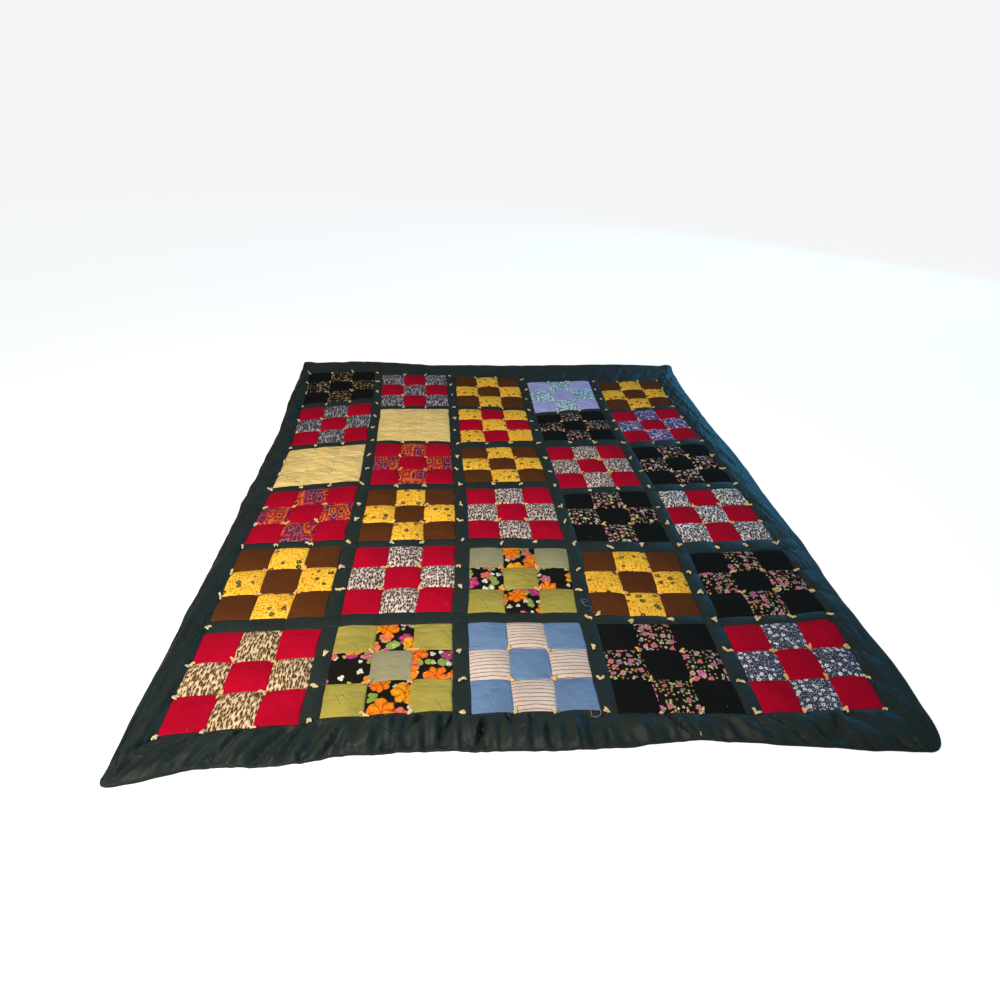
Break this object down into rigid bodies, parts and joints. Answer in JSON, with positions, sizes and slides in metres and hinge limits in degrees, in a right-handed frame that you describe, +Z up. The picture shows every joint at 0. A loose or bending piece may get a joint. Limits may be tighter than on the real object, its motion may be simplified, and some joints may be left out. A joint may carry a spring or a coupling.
{
  "type": "patchwork quilt",
  "caption": "Tied patchwork quilt laid out flat: padded nine-patch blocks set in dark sashing strips with a dark border, rumpled by hand and held by yarn ties.",
  "frame": {"origin": "on the surface the quilt lies on, under the middle of its bounding box", "axes": "+Z up out of the pieced top, +Y along the length to the head edge, +X across the width to the right when looking from the foot to the head"},
  "size_m": [1.9026, 2.471, 0.036],
  "materials": {
    "border_and_sashing": "dark slate teal plain weave",
    "tie_yarn": "cream and gold wool yarn, knotted ties",
    "red_and_print": "crimson plain cloth with printed patches",
    "brown_and_gold": "brown plain cloth with gold floral patches",
    "black_and_floral": "black plain cloth with small floral patches",
    "plain_yellow": "plain pale yellow cloth",
    "gold_and_red": "gold floral cloth with crimson patches",
    "slate_print_and_red": "slate and white print with crimson patches",
    "lavender_and_blue": "lavender plain cloth with pale blue floral patches",
    "grey_print_and_red": "grey spotted print with crimson patches",
    "olive_and_bloom": "olive plain cloth with large bloom patches on black",
    "blue_and_stripe": "cornflower blue plain cloth with fine grey stripe patches"
  },
  "bodies": {
    "root": {"block_r1_c1": "black_and_floral", "block_r1_c2": "slate_print_and_red", "block_r1_c3": "brown_and_gold", "block_r1_c4": "lavender_and_blue", "block_r1_c5": "brown_and_gold", "block_r2_c1": "red_and_print", "block_r2_c2": "plain_yellow", "block_r2_c3": "gold_and_red", "block_r2_c4": "black_and_floral", "block_r2_c5": "red_and_print", "block_r3_c1": "plain_yellow", "block_r3_c2": "red_and_print", "block_r3_c3": "brown_and_gold", "block_r3_c4": "red_and_print", "block_r3_c5": "black_and_floral", "block_r4_c1": "red_and_print", "block_r4_c2": "brown_and_gold", "block_r4_c3": "red_and_print", "block_r4_c4": "black_and_floral", "block_r4_c5": "grey_print_and_red", "block_r5_c1": "brown_and_gold", "block_r5_c2": "red_and_print", "block_r5_c3": "olive_and_bloom", "block_r5_c4": "brown_and_gold", "block_r5_c5": "black_and_floral", "block_r6_c1": "red_and_print", "block_r6_c2": "olive_and_bloom", "block_r6_c3": "blue_and_stripe", "block_r6_c4": "black_and_floral", "block_r6_c5": "red_and_print", "sash_short_c1_r1": "border_and_sashing", "sash_short_c1_r2": "border_and_sashing", "sash_short_c1_r3": "border_and_sashing", "sash_short_c1_r4": "border_and_sashing", "sash_short_c1_r5": "border_and_sashing", "sash_short_c2_r1": "border_and_sashing", "sash_short_c2_r2": "border_and_sashing", "sash_short_c2_r3": "border_and_sashing", "sash_short_c2_r4": "border_and_sashing", "sash_short_c2_r5": "border_and_sashing", "sash_short_c3_r1": "border_and_sashing", "sash_short_c3_r2": "border_and_sashing", "sash_short_c3_r3": "border_and_sashing", "sash_short_c3_r4": "border_and_sashing", "sash_short_c3_r5": "border_and_sashing", "sash_short_c4_r1": "border_and_sashing", "sash_short_c4_r2": "border_and_sashing", "sash_short_c4_r3": "border_and_sashing", "sash_short_c4_r4": "border_and_sashing", "sash_short_c4_r5": "border_and_sashing", "sash_short_c5_r1": "border_and_sashing", "sash_short_c5_r2": "border_and_sashing", "sash_short_c5_r3": "border_and_sashing", "sash_short_c5_r4": "border_and_sashing", "sash_short_c5_r5": "border_and_sashing", "sash_long_1": "border_and_sashing", "sash_long_2": "border_and_sashing", "sash_long_3": "border_and_sashing", "sash_long_4": "border_and_sashing", "border": "border_and_sashing"}
  },
  "joints": []
}
